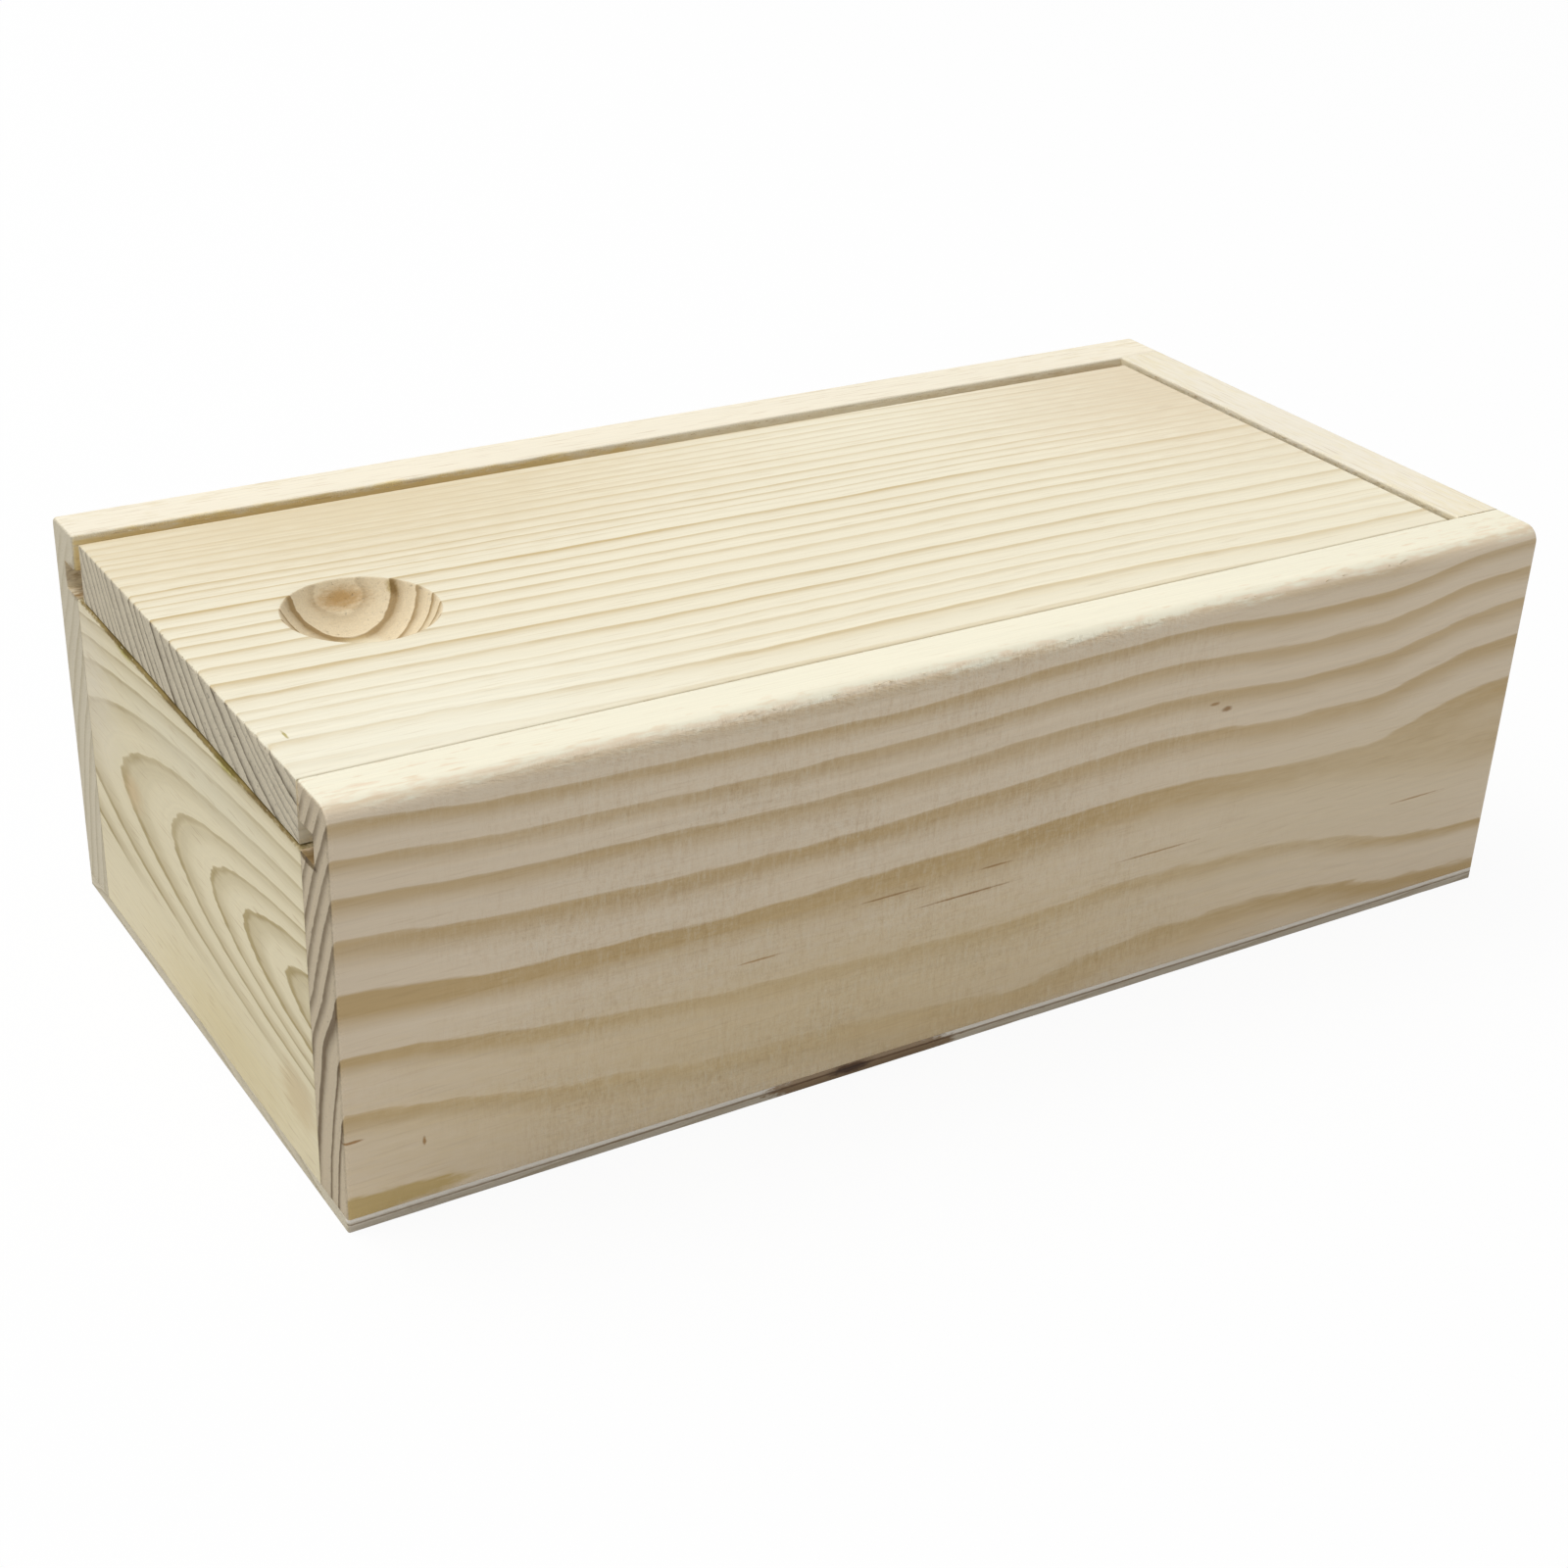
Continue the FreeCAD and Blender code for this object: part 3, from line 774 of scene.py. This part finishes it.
caseFuzz = {
    "body": "case", "slot": "side_wood", "pale": (246, 236, 212), "dull": (200, 178, 140),
    "within": ("side_left", "side_right", "bottom_panel"),
    "strips": [
        # torn fibres on the rounded top edge of the near wall
        {"from": (50.1, -45, 60.9), "to": (50.1, 72, 60.9), "spacing": 0.55, "length": 2.2,
         "thickness": 0.06, "spread": (0.32, 0.4, 0.4), "tilt": 0.3, "seed": 4},
        # the inner edges of the near, far and rear lips
        {"from": (41.75, -98, 61.5), "to": (41.75, 88, 61.5), "spacing": 1.1, "length": 1.8,
         "thickness": 0.05, "spread": (0.12, 0.5, 0.25), "tilt": 0.12, "seed": 9},
        {"from": (-41.8, -98, 61.4), "to": (-41.8, 88, 61.4), "spacing": 1.3, "length": 1.8,
         "thickness": 0.05, "spread": (0.12, 0.5, 0.25), "tilt": 0.12, "seed": 15},
        {"from": (-38, 90.8, 61.4), "to": (40, 90.8, 61.4), "spacing": 0.9, "length": 1.4,
         "thickness": 0.06, "spread": (0.5, 0.12, 0.25), "tilt": 0.15, "seed": 21},
        # pale frayed line where the near wall sits on the plywood
        {"from": (50.88, -99, 2.0), "to": (50.88, 98, 2.0), "spacing": 0.6, "length": 2.6,
         "thickness": 0.05, "spread": (0.02, 0.5, 0.1), "tilt": 0.03, "seed": 27},
        # splinters in the mouth of the near groove
        {"from": (43.0, -99.6, 56.5), "to": (45.2, -99.6, 56.5), "spacing": 1.1, "length": 1.2,
         "thickness": 0.06, "spread": (0.2, 0.1, 0.1), "tilt": 0.3, "seed": 39},
        # torn top edge of the front wall, under the lid
        {"from": (-40, -99.75, 52.1), "to": (40, -99.75, 52.1), "spacing": 0.8, "length": 1.5,
         "thickness": 0.07, "spread": (0.5, 0.1, 0.12), "tilt": 0.12, "seed": 45},
    ],
}

lidFuzz = {
    "body": "lid", "slot": "lid_wood", "pale": (240, 230, 204), "dull": (170, 152, 116), "within": ("lid",),
    "strips": [
        # the front end's upper and lower edges, then the rear end's upper edge
        {"from": (-39.4, -99.5, 61.2), "to": (40.6, -99.5, 61.2), "spacing": 0.7, "length": 0.9,
         "thickness": 0.1, "spread": (0.4, 0.1, 0.2), "tilt": 0.8, "seed": 51},
        {"from": (-39.4, -99.5, 52.8), "to": (40.6, -99.5, 52.8), "spacing": 0.9, "length": 1.1,
         "thickness": 0.09, "spread": (0.4, 0.1, 0.15), "tilt": 0.5, "seed": 57},
        {"from": (-39, 89.8, 61.2), "to": (40, 89.8, 61.2), "spacing": 0.8, "length": 0.8,
         "thickness": 0.08, "spread": (0.4, 0.15, 0.15), "tilt": 0.8, "seed": 63},
    ],
}

looseFibres("caseFibres", caseFuzz)
looseFibres("lidFibres", lidFuzz)


# light and floor
studio = {
    "roomStrength": 0.465,
    "keySize": 1.5,
    "keyWatts": 28.5,
    "keyToward": (-0.3, -0.33, 1.0),
    "keyDistance": 2.2,
    "floorReach": 4,
    "floorPaint": (206, 206, 206),
    "floorSeen": (252, 252, 252),
    "floorGlow": 0.93,
}
white = (1, 1, 1, 1)


def seenDirectly(recipe):  # 1 for rays from the camera, mirrored or passed through
    camera, glossy, through = recipe.node("ShaderNodeLightPath", out=(
        "Is Camera Ray", "Is Glossy Ray", "Is Transmission Ray"))
    return camera.calc("MAXIMUM", glossy.calc("MAXIMUM", through))


def addRoom(setup):
    world = bpy.data.worlds.new("paleRoom")
    scene.world = world
    world.use_nodes = True
    world.node_tree.nodes.clear()
    recipe = Recipe(world.node_tree)
    light = recipe.node("ShaderNodeBackground", {}, {"Color": white, "Strength": setup["roomStrength"]})
    backdrop = recipe.node("ShaderNodeBackground", {}, {"Color": white, "Strength": 1.0})
    both = recipe.node("ShaderNodeMixShader", {}, {0: seenDirectly(recipe), 1: light, 2: backdrop})
    recipe.node("ShaderNodeOutputWorld", {}, {"Surface": both})


def addKeyLight(setup):
    key = bpy.data.lights.new("softKey", "AREA")
    key.shape = "SQUARE"
    key.size = setup["keySize"]
    key.energy = setup["keyWatts"]
    lamp = bpy.data.objects.new("softKey", key)
    toward = Vector(setup["keyToward"]).normalized()
    lamp.location = toward * setup["keyDistance"]
    lamp.rotation_mode = "QUATERNION"
    lamp.rotation_quaternion = toward.to_track_quat("Z", "Y")
    scene.collection.objects.link(lamp)


def addFloor(setup):
    mesh = bpy.data.meshes.new("paleFloor")
    reach = setup["floorReach"]
    corners = [(-reach, -reach, 0), (reach, -reach, 0), (reach, reach, 0), (-reach, reach, 0)]
    mesh.from_pydata(corners, [], [(0, 1, 2, 3)])
    floor = bpy.data.objects.new("paleFloor", mesh)
    scene.collection.objects.link(floor)
    material, recipe = emptyMaterial("paleFloor")
    seen = seenDirectly(recipe)
    paint = recipe.mix(seen, srgb(*setup["floorPaint"]), srgb(*setup["floorSeen"]))
    board = recipe.node("ShaderNodeBsdfDiffuse", {}, {"Color": paint})
    glow = recipe.node("ShaderNodeEmission", {}, {"Color": white, "Strength": 1.0})
    both = recipe.node("ShaderNodeMixShader", {}, {0: seen * setup["floorGlow"], 1: board, 2: glow})
    recipe.node("ShaderNodeOutputMaterial", {}, {"Surface": both})
    mesh.materials.append(material)


addRoom(studio)
addKeyLight(studio)
addFloor(studio)
